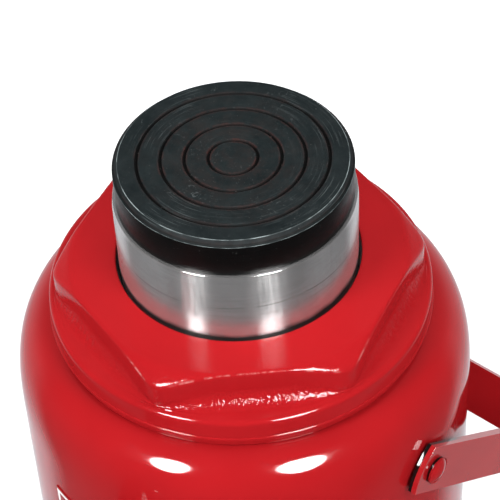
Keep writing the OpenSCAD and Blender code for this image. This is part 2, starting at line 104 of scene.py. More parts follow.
def make_camera():
    camera = bpy.data.objects.new("camera", bpy.data.cameras.new("camera"))
    bpy.context.scene.collection.objects.link(camera)
    camera.data.lens = CAMERA_LENS
    camera.data.clip_start = 0.05
    heading = Matrix.Rotation(radians(VIEW_TURN - CAMERA_YAW), 4, "Z")
    tilt = Matrix.Rotation(radians(90 - CAMERA_PITCH), 4, "X")
    roll = Matrix.Rotation(radians(CAMERA_ROLL), 4, "Z")
    place = turned(0, 0) * CAMERA_BACK * MM
    stand = Matrix.Translation((place.x, place.y, CAMERA_Z * MM))
    camera.matrix_world = stand @ heading @ tilt @ roll
    bpy.context.scene.camera = camera


def new_lamp(name, shape, width, height, glow):
    """Area lamp whose radiance is glow, whatever its size."""
    light = bpy.data.lights.new(name, "AREA")
    light.shape = shape
    light.size = width
    light.size_y = height
    light.energy = glow * pi * width * height
    lamp = bpy.data.objects.new(name, light)
    bpy.context.scene.collection.objects.link(lamp)
    lamp.visible_camera = False
    return lamp


def make_lamp(name, azimuth, elevation, width, height, glow, shape, seen, lean=0):
    """Lamp aimed at the tank's shoulder. Fill lamps are seen only by matt surfaces and mirror lamps
    only by glossy ones, so that their sizes and strengths can differ.
    Lean turns the lamp's top to its own left."""
    lamp = new_lamp(name, shape, width, height, glow)
    shoulder_z = high("reservoir_tank").z * MM
    aim = turned(azimuth / 2, 0) * SHOULDER_REACH + Vector((0, 0, shoulder_z))
    direction = turned(azimuth, elevation)
    lamp.location = aim + direction * LAMP_DISTANCE
    upright = direction.to_track_quat("Z", "Y").to_matrix()
    lamp.rotation_euler = (upright @ Matrix.Rotation(radians(lean), 3, "Z")).to_euler()
    lamp.visible_glossy = seen == "glossy"
    lamp.visible_diffuse = seen == "matt"


def make_room():
    """What glossy surfaces mirror: a room that is pale behind the object, dark in front and dim
    overhead."""
    bpy.ops.mesh.primitive_uv_sphere_add(radius=ROOM_R, segments=48, ring_count=24)
    room = bpy.context.object
    room.name = "studio_room"
    material = bpy.data.materials.new("room_tone")
    material.use_nodes = True
    tree = material.node_tree
    tree.nodes.clear()
    place = tree.nodes.new("ShaderNodeTexCoord").outputs["Object"]

    def towards(direction, *span):
        """Fade between two distances along a direction, given as from, to, value, value."""
        along = tree.nodes.new("ShaderNodeVectorMath")
        along.operation = "DOT_PRODUCT"
        along.inputs[1].default_value = direction
        tree.links.new(place, along.inputs[0])
        fade = tree.nodes.new("ShaderNodeMapRange")
        fade.interpolation_type = "SMOOTHSTEP"
        tree.links.new(along.outputs["Value"], fade.inputs["Value"])
        for name, value in zip(("From Min", "From Max", "To Min", "To Max"), span):
            fade.inputs[name].default_value = value
        return fade.outputs["Result"]

    ahead = towards(turned(0, 0) / ROOM_R, -0.46, -0.2, 1.0, 0.22)
    nearest = towards(turned(0, 0) / ROOM_R, 0.3, 0.6, 1.0, 0.3)
    above = towards((0, 0, 1 / ROOM_R), 0.0, 0.6, 0.9, 0.25)
    glow = tree.nodes.new("ShaderNodeEmission")
    glow.inputs["Color"].default_value = (0.94, 0.96, 1.0, 1)
    tone = above
    for fade in (ahead, nearest):
        product = tree.nodes.new("ShaderNodeMath")
        product.operation = "MULTIPLY"
        tree.links.new(tone, product.inputs[0])
        tree.links.new(fade, product.inputs[1])
        tone = product.outputs[0]
    tree.links.new(tone, glow.inputs["Strength"])
    tree.links.new(glow.outputs[0], tree.nodes.new("ShaderNodeOutputMaterial").inputs["Surface"])
    material.cycles.emission_sampling = "NONE"
    room.data.materials.append(material)
    room.visible_camera = room.visible_diffuse = False
    room.visible_shadow = room.visible_transmission = False


def make_bail_panel():
    """Low soft panel beside the jack that only the bail mirrors, as a gap in the dark room."""
    away, below_ram = 0.3, 0.02
    panel = new_lamp("panel_bail", "RECTANGLE", 0.50, 0.155, 0.27)
    direction = turned(105, -45)
    panel.location = direction * away + Vector((0, 0, high("ram").z * MM - below_ram))
    panel.rotation_euler = direction.to_track_quat("Z", "Y").to_euler()
    panel.visible_diffuse = False
    receivers = bpy.data.collections.new("bail_only")
    receivers.objects.link(bpy.data.objects["carry_handle_finished"])
    panel.light_linking.receiver_collection = receivers


def make_studio():
    """A pale floor and sky, a room for the reflections, three fill lamps and two mirror lamps."""
    world = bpy.data.worlds.new("studio")
    bpy.context.scene.world = world
    world.use_nodes = True
    sky = world.node_tree.nodes["Background"]
    sky.inputs["Color"].default_value = (0.97, 0.985, 1.0, 1)
    sky.inputs["Strength"].default_value = 0.85
    make_room()
    make_lamp("fill_left", -54, 40, 0.5, 1.0, 17.5, "RECTANGLE", "matt")
    make_lamp("fill_right", 38, 43, 0.5, 1.0, 14.5, "RECTANGLE", "matt")
    make_lamp("fill_top", 180, 75, 1.5, 1.5, 2.5, "RECTANGLE", "matt")
    make_lamp("mirror_left", -42, 40, 0.42, 0.80, MIRROR_GLOW, "ELLIPSE", "glossy", 10)
    make_lamp("mirror_right", 26, 43, 0.52, 0.86, MIRROR_GLOW, "ELLIPSE", "glossy", -10)
    bpy.ops.mesh.primitive_plane_add(size=12)
    floor = bpy.context.object
    floor.name = "studio_floor"
    floor.visible_glossy = False
    floor.data.materials.append(paper())
    bpy.context.scene.view_settings.view_transform = "Standard"


# ---------- shapes ----------

def arc(first, last, steps):
    """Evenly spaced angles in radians from first to last degrees."""
    return [radians(first + (last - first) * k / steps) for k in range(steps + 1)]


def filleted(corners, steps=5):
    """Closed outline through (x, y, radius) corners, each rounded by its radius."""
    points = []
    for i, (x, y, radius) in enumerate(corners):
        if not radius:
            points.append((x, y))
            continue
        corner = Vector((x, y))
        back = (Vector(corners[i - 1][:2]) - corner).normalized()
        ahead = (Vector(corners[(i + 1) % len(corners)][:2]) - corner).normalized()
        half = back.angle(ahead) / 2
        centre = corner + (back + ahead).normalized() * (radius / sin(half))
        first = corner + back * (radius / tan(half)) - centre
        last = corner + ahead * (radius / tan(half)) - centre
        start = atan2(first.y, first.x)
        sweep = (atan2(last.y, last.x) - start + pi) % (2 * pi) - pi
        for k in range(steps + 1):
            a = start + sweep * k / steps
            points.append((centre.x + radius * cos(a), centre.y + radius * sin(a)))
    return points


def revolve(profile, segments=128):
    """Points and faces of a turned solid. The profile is a closed loop of (radius, height)."""
    points, faces, rings = [], [], []
    for radius, z in profile:
        count = segments if radius > 1e-6 else 1
        rings.append([len(points) + i for i in range(count)])
        turns = (2 * pi * i / count for i in range(count))
        points += [(radius * cos(a), radius * sin(a), z) for a in turns]
    for a, b in zip(rings, rings[1:] + rings[:1]):
        if len(a) == 1 and len(b) == 1:
            continue
        for i in range(segments):
            j = (i + 1) % segments
            face = [a[i % len(a)], a[j % len(a)], b[j % len(b)], b[i % len(b)]]
            faces.append(list(dict.fromkeys(face)))
    return points, faces


def prism(outline, z0, z1, edge, steps):
    """Points and faces of an upright bar whose two end edges are rounded by edge."""
    n = len(outline)
    inward = []
    for i in range(n):
        before, after = Vector(outline[i - 1]), Vector(outline[(i + 1) % n])
        along = (after - before).normalized()
        inward.append(Vector((-along.y, along.x)))
    levels = [(edge * (1 - sin(a)), z0 + edge * (1 - cos(a))) for a in arc(0, 90, steps)]
    levels += [(inset, z0 + z1 - z) for inset, z in reversed(levels)]
    points = [(x + inward[i].x * inset, y + inward[i].y * inset, z)
              for inset, z in levels for i, (x, y) in enumerate(outline)]
    faces = [[k * n + i, k * n + (i + 1) % n, (k + 1) * n + (i + 1) % n, (k + 1) * n + i]
             for k in range(len(levels) - 1) for i in range(n)]
    faces += [list(range(n - 1, -1, -1)), [(len(levels) - 1) * n + i for i in range(n)]]
    return points, faces


def new_mesh(name, shape, place=Matrix.Identity(4)):
    """Object from points and faces in millimetres, shaded smooth but for its sharp edges."""
    points, faces = shape
    mesh = bpy.data.meshes.new(name)
    mesh.from_pydata([(place @ Vector(p)) * MM for p in points], [], faces)
    bm = bmesh.new()
    bm.from_mesh(mesh)
    bmesh.ops.recalc_face_normals(bm, faces=bm.faces)
    bm.to_mesh(mesh)
    bm.free()
    obj = bpy.data.objects.new(name, mesh)
    bpy.context.scene.collection.objects.link(obj)
    shade(obj)
    return obj


def shade(obj, angle=32):
    """Smooth shading, but for edges sharper than this."""
    obj.data.shade_smooth()
    obj.data.set_sharp_from_angle(angle=radians(angle))


def apply_modifiers(obj):
    """Turns what the modifiers make into the object's own mesh."""
    bpy.context.view_layer.update()
    evaluated = obj.evaluated_get(bpy.context.evaluated_depsgraph_get())
    mesh = bpy.data.meshes.new_from_object(evaluated)
    obj.modifiers.clear()
    obj.data = mesh
    return obj


def finish_piece(obj, node, material):
    """The piece stands for a CAD node, which is hidden: it rides on its body and takes this material.
    """
    obj.data.materials.clear()
    obj.data.materials.append(material)
    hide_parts(node)
    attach(obj, BODY_OF[node])


def rounded_copy(node, edge, steps=3):
    """A CAD node's own shape with its sharp edges rounded by edge millimetres."""
    mesh = frame["nodes"][node].data.copy()
    bm = bmesh.new()
    bm.from_mesh(mesh)
    bmesh.ops.remove_doubles(bm, verts=bm.verts, dist=1e-6)
    bmesh.ops.dissolve_limit(bm, angle_limit=radians(0.5), verts=bm.verts, edges=bm.edges)
    bm.to_mesh(mesh)
    bm.free()
    obj = bpy.data.objects.new(node + "_finished", mesh)
    bpy.context.scene.collection.objects.link(obj)
    bevel = obj.modifiers.new("edge", "BEVEL")
    bevel.width = edge * MM
    bevel.segments = steps
    bevel.limit_method = "ANGLE"
    bevel.angle_limit = radians(35)
    bevel.use_clamp_overlap = True
    shade(obj)
    weight = obj.modifiers.new("normals", "WEIGHTED_NORMAL")
    weight.keep_sharp = True
    return apply_modifiers(obj)


RING_FIRST = 8.45         # radius of the saddle's first groove
RING_STEP = 8.15
HEX_TURN = 44.4
HEX_FLATS = 117.4
HEX_POWER = 30            # higher gives sharper corners
HEX_CORNER_TOP_R = 59.6
HEX_CORNER_SLOPE = 1.667  # of the chamfer, out per down
HEX_FACINGS = (30, 90, 150)
RIVET_SEAT = 87.45        # from the middle of the jack to the underside of the rivet's head
RIVET_FACE = 88.3         # the same to the foot of its dome


# ---------- materials ----------

class Surface:
    """One material's node tree, built from plain calls."""

    def __init__(self, name, **sockets):
        self.material = bpy.data.materials.new(name)
        self.material.use_nodes = True
        self.tree = self.material.node_tree
        self.shader = self.tree.nodes["Principled BSDF"]
        self.place = self.add("ShaderNodeTexCoord").outputs["Object"]
        for socket, value in sockets.items():
            self.feed(self.shader.inputs[socket.replace("_", " ")], value)

    def feed(self, socket, value):
        """Links a socket to another one, or sets its value."""
        if isinstance(value, bpy.types.NodeSocket):
            self.tree.links.new(value, socket)
        else:
            socket.default_value = value

    def add(self, kind, *inputs, **settings):
        """New node with these settings, its inputs fed in order."""
        node = self.tree.nodes.new(kind)
        for name, value in settings.items():
            setattr(node, name, value)
        for i, value in enumerate(inputs):
            if value is not None:
                self.feed(node.inputs[i], value)
        return node

    def set(self, socket, value):
        self.feed(self.shader.inputs[socket], value)

    def stretched(self, x, y, z):
        """The piece's coordinates with each axis scaled."""
        return self.add("ShaderNodeMapping", self.place, None, None, (x, y, z)).outputs[0]

    def noise(self, scale, detail=3, rough=0.5, vector=None, warp=0):
        node = self.add("ShaderNodeTexNoise")
        self.feed(node.inputs["Vector"], vector or self.place)
        for name, value in (("Scale", scale), ("Detail", detail), ("Roughness", rough),
                            ("Distortion", warp)):
            node.inputs[name].default_value = value
        return node.outputs["Fac"]

    def ramp(self, value, start, end, first=0.0, last=1.0):
        """From first to last as the value goes from start to end."""
        return self.add("ShaderNodeMapRange", value, start, end, first, last).outputs["Result"]

    def maths(self, operation, a, b=0.0):
        return self.add("ShaderNodeMath", a, b, operation=operation).outputs[0]

    def times(self, *factors):
        product = factors[0]
        for factor in factors[1:]:
            product = self.maths("MULTIPLY", product, factor)
        return product

    def grainy(self, scale, start, end, first, last, detail=3):
        """Fine unevenness between two values."""
        return self.ramp(self.noise(scale, detail), start, end, first, last)

    def blend(self, amount, first, second):
        """A colour between two others. A Mix node's colour sockets are the seventh and eighth."""
        node = self.add("ShaderNodeMix", data_type="RGBA")
        for i, value in ((0, amount), (6, first), (7, second)):
            self.feed(node.inputs[i], value)
        return node.outputs[2]

    def blend_value(self, amount, first, second):
        """A number between two others."""
        return self.add("ShaderNodeMix", amount, None, first, second, data_type="FLOAT").outputs[0]

    def bump(self, height, depth, normal=None):
        """Surface relief: height 0 to 1 is depth metres."""
        node = self.add("ShaderNodeBump")
        self.feed(node.inputs["Strength"], 1.0)
        self.feed(node.inputs["Distance"], depth)
        self.feed(node.inputs["Height"], height)
        if normal:
            self.feed(node.inputs["Normal"], normal)
        return node.outputs["Normal"]

    def vector(self, operation, first, second=None):
        return self.add("ShaderNodeVectorMath", first, second, operation=operation)

    def radius(self):
        """Distance from the ram axis."""
        flat = self.vector("MULTIPLY", self.place, (1, 1, 0)).outputs[0]
        return self.vector("LENGTH", flat).outputs["Value"]

    def angle(self):
        """Turn about the ram axis, in radians."""
        place = self.add("ShaderNodeSeparateXYZ", self.place)
        return self.maths("ARCTAN2", place.outputs["Y"], place.outputs["X"])

    def along(self, turn):
        """How far a point lies in a level direction from the ram axis."""
        direction = (cos(turn), sin(turn), 0)
        return self.vector("DOT_PRODUCT", self.place, direction).outputs["Value"]

    def height(self):
        return self.add("ShaderNodeSeparateXYZ", self.place).outputs["Z"]

    def near(self, value, target, reach):
        """1 where the value is at the target, falling to 0 at reach from it."""
        away = self.maths("ABSOLUTE", self.maths("SUBTRACT", value, target))
        return self.ramp(away, 0.0, reach, 1.0, 0.0)


RED_BRIGHT = (0.238, 0.0060, 0.0078, 1)
RED_DEEP = (0.212, 0.0052, 0.0068, 1)


def paper():
    s = Surface("pale_paper", Roughness=0.9)
    s.set("Base Color", s.blend(s.noise(3), (0.66, 0.665, 0.67, 1), (0.69, 0.69, 0.69, 1)))
    s.set("Normal", s.bump(s.noise(900, 2), 2e-5))
    return s.material


def red_coat(s, mark=None, mark_colour=None):
    """Colour, gloss and orange peel that all the red paint shares, with any mark over it.
    Returns its normal."""
    paint = s.blend(s.ramp(s.noise(22, 3), 0.35, 0.65), RED_DEEP, RED_BRIGHT)
    s.set("Base Color", s.blend(mark, paint, mark_colour) if mark else paint)
    s.set("Roughness", s.grainy(1300, 0.3, 0.7, 0.05, 0.09))
    return s.bump(s.noise(300, 2, 0.4), 8e-6)


def add_nibs(s, peel):
    """Specks of dust under the paint."""
    nib = s.ramp(s.noise(2600, 1), 0.74, 0.8)
    s.set("Normal", s.bump(nib, 6e-6, peel))


def enamel():
    """Glossy red enamel over smooth steel."""
    s = Surface("enamel_red", IOR=1.32)
    add_nibs(s, red_coat(s))
    return s.material


def cast_enamel(name, grain):
    """The same enamel over a cast surface. Grain is the depth of its pits, in metres."""
    s = Surface(name, IOR=1.36)
    peel = red_coat(s)
    coarse = s.noise(520, 4, 0.6)
    fine = s.noise(1500, 3, 0.6)
    skin = s.bump(coarse, grain, peel)
    s.set("Normal", s.bump(fine, grain * 0.35, skin))
    return s.material


def gap_enamel(name, inner, outer, ior=1.36):
    """Enamel on the bail and its rivets, with painted shade, near black, in the gap round the pivot
    between two distances from the middle of the jack."""
    s = Surface(name, IOR=ior)
    out = s.maths("ABSOLUTE", s.add("ShaderNodeSeparateXYZ", s.place).outputs["X"])
    gap = s.times(s.ramp(out, (inner - 0.1) * MM, inner * MM),
                  s.ramp(out, (outer - 0.15) * MM, outer * MM, 1.0, 0.0))
    pivot = (0, 0, middle("handle_rivet_right").z * MM)
    to_pivot = s.vector("SUBTRACT", s.place, pivot).outputs[0]
    across = s.vector("MULTIPLY", to_pivot, (0, 1, 1)).outputs[0]
    reach = s.vector("LENGTH", across).outputs["Value"]
    # Painted shade: near black in the gap between the bail, its rivets and the tank, near the pivot
    painted_shade = s.times(gap, s.ramp(reach, 0.015, 0.022, 1.0, 0.0))
    add_nibs(s, red_coat(s, painted_shade, (0.003, 0.002, 0.002, 1)))
    return s.material


def cap_enamel():
    """Enamel on the cap: smooth on its machined faces, rough on the cast sides of the hexagon."""
    s = Surface("cap_red", IOR=1.25)
    top = high("top_cap").z * MM
    z = s.height()

    # A painted highlight: a broken pale line along the edge between the top and the front flat, the
    # flat that faces the camera
    chamfer_top = top + (HEX_CORNER_TOP_R / HEX_CORNER_SLOPE - 0.3) * MM
    chamfer = s.maths("SUBTRACT", chamfer_top, s.maths("DIVIDE", s.radius(), HEX_CORNER_SLOPE))
    ridge = s.maths("MINIMUM", top - 3e-4, chamfer)
    facing = [s.maths("ABSOLUTE", s.along(radians(HEX_TURN + turn))) for turn in HEX_FACINGS]
    across = s.maths("MAXIMUM", s.maths("MAXIMUM", facing[0], facing[1]), facing[2])
    flat = HEX_FLATS / 2 * MM
    painted_highlight_edge = s.times(s.near(s.maths("SUBTRACT", z, ridge), 0.0, 4.5e-4),
                    s.ramp(across, flat - 7e-4, flat - 2e-4),
                    s.ramp(s.along(radians(VIEW_TURN - 90)), 0.044, 0.052))
    broken = s.ramp(s.noise(260, 3, 0.7), 0.44, 0.58)
    pale_edge_line = s.times(painted_highlight_edge, s.times(broken, 0.8))
    peel = red_coat(s, pale_edge_line, (0.42, 0.17, 0.16, 1))

    # The sides of the hexagon are grainy, most of all at their foot
    below_top = s.ramp(z, top - 1.0e-4, top - 5e-4)
    above_flange = s.ramp(z, top - 13.35e-3, top - 12.9e-3)
    inside_rim = s.ramp(s.radius(), 0.0662, 0.0668, 1.0, 0.0)
    cast = s.times(below_top, above_flange, inside_rim)
    foot = s.near(z, top - 11.4e-3, 3.4e-3)
    depth = s.maths("ADD", s.times(foot, 0.75), 0.25)
    grains = s.times(s.noise(820, 1.5, 0.55), cast, depth)
    s.set("Normal", s.bump(grains, 3.4e-4, peel))
    return s.material


def metal(name, light, dark, smoothest, roughest):
    """Bare metal: mottled tone, uneven roughness and a fine grain."""
    s = Surface(name, Metallic=1.0)
    tone = s.ramp(s.noise(160, 4, 0.6), 0.35, 0.65)
    s.set("Base Color", s.blend(tone, dark, light))
    s.set("Roughness", s.grainy(700, 0.3, 0.7, smoothest, roughest, 4))
    s.set("Normal", s.bump(s.noise(900, 3), 2e-5))
    return s.material


def ram_steel():
    """Ground steel of the ram: fine rings, faint scuffs along it, broken dark lines round it and
    a near-black band just above the cap."""
    s = Surface("ram_ground_steel", Metallic=0.87, Anisotropic=1.0, Anisotropic_Rotation=0.25)
    s.set("Tangent", s.add("ShaderNodeTangent", direction_type="RADIAL", axis="Z").outputs[0])
    cap_z = high("top_cap").z * MM
    z = s.height()
    rings = s.noise(1, 4, 0.7, s.stretched(40, 40, 4200))
    scuffs = s.noise(1, 3, 0.6, s.stretched(700, 700, 60))
    cloud = s.noise(60, 4, 0.6)
    steel = s.blend(s.ramp(cloud, 0.3, 0.7), (0.46, 0.455, 0.455, 1), (0.56, 0.555, 0.555, 1))
    steel = s.blend(s.ramp(rings, 0.40, 0.66, 0.0, 0.35), steel, (0.30, 0.28, 0.27, 1))
    steel = s.blend(s.ramp(scuffs, 0.55, 0.75, 0.0, 0.15), steel, (0.24, 0.21, 0.20, 1))
    steel = s.blend(s.ramp(s.noise(1700, 2), 0.68, 0.74, 0.0, 0.6), steel, (0.10, 0.08, 0.07, 1))
    for level, width, strength in ((14.6, 2.6e-4, 0.75), (10.8, 1.6e-4, 0.5), (13.2, 1.2e-4, 0.35)):
        broken = s.ramp(s.noise(1, 2, 0.6, s.stretched(150 + level, 150, 40)), 0.42, 0.54)
        line = s.times(s.near(z, cap_z + level * MM, width), broken)
        steel = s.blend(s.times(line, strength), steel, (0.05, 0.03, 0.03, 1))
    # Near-black band, with a wavy upper edge, just above the cap
    wavy_z = s.maths("ADD", z, s.ramp(cloud, 0.3, 0.7, -8e-4, 8e-4))
    dark_foot = s.times(s.ramp(wavy_z, cap_z + 2.4e-3, cap_z + 0.2e-3, 0.0, 0.9),
                  s.ramp(z, cap_z - 3e-3, cap_z - 1e-3))
    steel = s.blend(dark_foot, steel, (0.018, 0.020, 0.018, 1))
    s.set("Base Color", steel)
    s.set("Roughness", s.ramp(scuffs, 0.3, 0.7, 0.145, 0.195))
    s.set("Normal", s.bump(rings, 1.2e-6))
    return s.material


def black_oxide():
    """Oiled black oxide with faint handling marks."""
    s = Surface("black_oxide", Metallic=0.6, Specular_IOR_Level=0.6)
    tone = s.ramp(s.noise(140, 4, 0.65), 0.3, 0.7)
    s.set("Base Color", s.blend(tone, (0.012, 0.014, 0.016, 1), (0.030, 0.034, 0.038, 1)))
    s.set("Roughness", s.grainy(600, 0.3, 0.7, 0.32, 0.48, 4))
    s.set("Normal", s.bump(s.noise(1600, 3), 1.5e-5))
    return s.material


def saddle_oxide():
    """Black oxide on the saddle, worn bright in thin lines on its rim and browned round its rings.
    The face, the bevel and the side have their own tones."""
    s = Surface("saddle_oxide", Metallic=0.0, Specular_IOR_Level=0.07)
    top = high("saddle").z * MM
    rim = high("saddle").x * MM
    radius, z = s.radius(), s.height()
    on_top = s.ramp(z, top - 1.7e-3, top - 1.2e-3)
    on_side = s.ramp(z, top - 2.3e-3, top - 1.9e-3, 1.0, 0.0)
    cloud = s.ramp(s.noise(95, 6, 0.72), 0.34, 0.66)
    face = s.blend(cloud, (0.0020, 0.0044, 0.0050, 1), (0.0064, 0.0096, 0.0102, 1))
    to_middle = s.ramp(radius, 0.012, 0.036, 1.0, 0.0)
    brown = s.times(s.ramp(s.noise(150, 6, 0.75), 0.42, 0.64),
                    s.ramp(to_middle, 0.0, 1.0, 0.1, 0.8))
    face = s.blend(brown, face, (0.0098, 0.0080, 0.0076, 1))
    off_middle = s.ramp(radius, 2e-3, 3e-3)
    past_ring = s.maths("ADD", radius, (RING_STEP - RING_FIRST) * MM)
    from_ring = s.maths("PINGPONG", past_ring, RING_STEP * MM / 2)
    rust = s.times(s.ramp(from_ring, 0.5e-3, 1.4e-3, 1.0, 0.0), off_middle,
                   s.ramp(s.noise(230, 5, 0.7), 0.42, 0.62),
                   s.ramp(to_middle, 0.0, 1.0, 0.25, 0.95))
    face = s.blend(rust, face, (0.030, 0.0095, 0.0075, 1))
    turned_mark = s.add("ShaderNodeCombineXYZ", s.times(radius, 2600), s.times(s.angle(), 1.6))
    arcs = s.times(s.ramp(s.noise(1, 3, 0.7, turned_mark.outputs[0]), 0.56, 0.68),
                   s.ramp(s.noise(42, 3), 0.46, 0.60), s.ramp(radius, 0.020, 0.038, 0.12, 0.6))
    face = s.blend(arcs, face, (0.066, 0.076, 0.077, 1))
    smudge = s.times(s.ramp(s.noise(330, 5, 0.75, warp=1.4), 0.60, 0.70),
                     s.ramp(s.noise(60, 2), 0.52, 0.62), 0.6)
    face = s.blend(smudge, face, (0.070, 0.078, 0.078, 1))
    groove = s.times(s.ramp(from_ring, 0.45e-3, 0.62e-3, 0.96, 0.0), off_middle)
    face = s.blend(groove, face, (0.0012, 0.0011, 0.0011, 1))
    fine = s.ramp(s.noise(1, 5, 0.7, s.stretched(50, 50, 2600)), 0.35, 0.65)
    side = s.blend(fine, (0.0008, 0.0009, 0.0009, 1), (0.0026, 0.0025, 0.0025, 1))
    band = s.blend(cloud, (0.0012, 0.0030, 0.0034, 1), (0.0022, 0.0050, 0.0056, 1))
    colour = s.blend(on_top, s.blend(on_side, band, side), face)
    specks = s.grainy(1500, 0.70, 0.76, 0.0, 0.45, 2)
    colour = s.blend(specks, colour, (0.085, 0.085, 0.080, 1))
    pores = s.grainy(1100, 0.32, 0.24, 0.0, 0.8)
    colour = s.blend(pores, colour, (0.0015, 0.0015, 0.0015, 1))
    upper = s.times(s.near(radius, rim - 1.85e-3, 1.7e-4), s.ramp(z, top - 4e-4, top - 2e-4))
    lower = s.times(s.near(z, top - 1.95e-3, 1.4e-4), s.ramp(radius, rim - 4e-4, rim - 2e-4))
    pale_edge_line = s.times(s.maths("MAXIMUM", upper, lower), s.grainy(150, 0.38, 0.58, 0.15, 1.0, 4))
    colour = s.blend(pale_edge_line, colour, (0.20, 0.235, 0.235, 1))
    s.set("Base Color", colour)
    s.set("Roughness", s.blend_value(on_side, s.grainy(420, 0.3, 0.7, 0.62, 0.78, 4),
                                     s.grainy(500, 0.3, 0.7, 0.28, 0.38)))
    pits = s.bump(s.noise(1300, 4, 0.6), 1.8e-5)
    s.set("Normal", s.bump(s.times(fine, on_side), 5e-6, pits))
    return s.material


def soft_rubber(name, light, dark, rough=0.62):
    s = Surface(name)
    s.set("Base Color", s.blend(s.noise(220, 4), dark, light))
    s.set("Roughness", s.grainy(900, 0.3, 0.7, rough - 0.08, rough + 0.1))
    s.set("Normal", s.bump(s.noise(2400, 3), 1.5e-5))
    return s.material


def label_print():
    """Red printed film with a plain white border line."""
    s = Surface("label", IOR=1.45)
    node_low, node_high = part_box("label_plate")
    centre_z = (node_low.z + node_high.z) / 2
    half_z = (node_high.z - node_low.z) / 2
    half_x = node_high.x
    position = s.add("ShaderNodeSeparateXYZ", s.place)
    from_side = s.maths("SUBTRACT", half_x, s.maths("ABSOLUTE", position.outputs["X"]))
    from_centre = s.maths("ABSOLUTE", s.maths("SUBTRACT", position.outputs["Z"], centre_z))
    inset = s.maths("MINIMUM", from_side, s.maths("SUBTRACT", half_z, from_centre))
    line = s.ramp(s.near(inset, 1.6e-3, 1.0e-3), 0.20, 0.32)
    ink = s.blend(s.noise(40, 3), RED_DEEP, RED_BRIGHT)
    s.set("Base Color", s.blend(line, ink, (0.62, 0.62, 0.61, 1)))
    s.set("Roughness", s.grainy(900, 0.3, 0.7, 0.18, 0.28))
    s.set("Normal", s.bump(s.noise(420, 2), 8e-6))
    return s.material


# Material of each of the record's slots
MATERIAL_OF = {
    "enamel_red": enamel(),
    "cast_red": cap_enamel(),
    "bright_steel": metal("bright_steel", (0.66, 0.66, 0.65, 1), (0.52, 0.52, 0.51, 1), 0.18, 0.30),
    "dark_steel": metal("dark_steel", (0.30, 0.30, 0.30, 1), (0.20, 0.20, 0.20, 1), 0.38, 0.52),
    "zinc_steel": metal("zinc_steel", (0.62, 0.61, 0.58, 1), (0.47, 0.47, 0.46, 1), 0.26, 0.42),
    "black_oxide": black_oxide(),
    "rubber_black": soft_rubber("rubber_black", (0.022, 0.022, 0.023, 1), (0.012, 0.012, 0.013, 1)),
    "polyurethane": soft_rubber("polyurethane", (0.30, 0.20, 0.045, 1), (0.24, 0.15, 0.03, 1), 0.4),
    "bronze": metal("bronze", (0.55, 0.36, 0.16, 1), (0.43, 0.27, 0.11, 1), 0.30, 0.42),
    "copper": metal("copper", (0.72, 0.36, 0.23, 1), (0.55, 0.25, 0.15, 1), 0.28, 0.42),
    "label": label_print(),
}
CASTING = cast_enamel("base_cast_red", 9e-5)
# The rivets and the bail carry painted shade, near black, in the gap round the pivot
RIVET = gap_enamel("rivet_red", 84.9, RIVET_FACE + 0.05)
BAIL = gap_enamel("bail_red", 84.0, 85.6, 1.55)


# ---------- ram, saddle, seals ----------

def make_saddle():
    radius = high("saddle").x
    z0, z1 = low("saddle").z, high("saddle").z
    chamfer = 1.9
    profile = [(0, z1, 0)]
    for k in range(4):
        ring = RING_FIRST + RING_STEP * k
        profile += [(ring - 0.6, z1, 0.12), (ring - 0.42, z1 - 1.1, 0.2),
                    (ring + 0.42, z1 - 1.1, 0.2), (ring + 0.6, z1, 0.12)]
    profile += [(radius - chamfer, z1, 0.2), (radius, z1 - chamfer, 0.3), (radius, z0, 0.4),
                (17, z0, 0), (17, z0 + 9, 0), (0, z0 + 9, 0)]
    saddle = new_mesh("saddle_finished", revolve(filleted(profile, 3), 160))
    finish_piece(saddle, "saddle", saddle_oxide())


def make_ram():
    radius, spigot, neck = high("ram").x, 24, 17
    bottom, foot, top, crown = low("ram").z, 74, low("saddle").z, high("ram").z
    profile = [(0, bottom, 0), (spigot, bottom, 0.5), (spigot, foot, 0), (radius - 1, foot, 0.3),
               (radius, foot + 1, 0.4), (radius, top - 2.7, 0), (radius - 0.05, top - 2.6, 0),
               (radius - 0.3, top, 0.15), (neck, top, 0), (neck, crown, 0.3), (0, crown, 0)]
    ram = new_mesh("ram_finished", revolve(filleted(profile, 4), 192))
    finish_piece(ram, "ram", ram_steel())


def make_seals():
    """Wiper ring with a thin lip, and the two tank gaskets with rounded rims."""
    lip, seat = 42.8, high("wiper_ring").x
    z0, z1 = low("wiper_ring").z, high("wiper_ring").z
    wiper = [(lip, z1, 0.1), (lip + 1.1, z1, 0.3), (lip + 1.7, z0 + 3.4, 0.4),
             (seat - 1.4, z0 + 3.4, 0.4), (seat - 1.0, z1, 0.3), (seat, z1, 0.3), (seat, z0, 0.3),
             (lip + 0.5, z0, 0.2), (lip + 0.3, z0 + 3, 0)]
    finish_piece(new_mesh("wiper_ring_finished", revolve(filleted(wiper, 3))), "wiper_ring",
                 MATERIAL_OF["rubber_black"])
    for node, inner in (("tank_gasket_upper", 63.6), ("tank_gasket_lower", 79.1)):
        outer = high(node).x
        bottom, top = low(node).z, high(node).z
        ring = [(inner, bottom, 0.2), (outer, bottom, 0.8), (outer, top, 0.8), (inner, top, 0.2)]
        painted = "enamel_red" if node == "tank_gasket_upper" else "rubber_black"
        gasket = new_mesh(node + "_finished", revolve(filleted(ring, 4)))
        finish_piece(gasket, node, MATERIAL_OF[painted])


# ---------- tank and cap ----------

TANK_R = 83.6
TANK_WALL = 4
SHOULDER_POWER = 3.25     # squareness of the curve, 2 is an ellipse
SHOULDER_R = 55.5         # where the curve would turn level
SHOULDER_HEIGHT = 36
MOUTH_R = 63


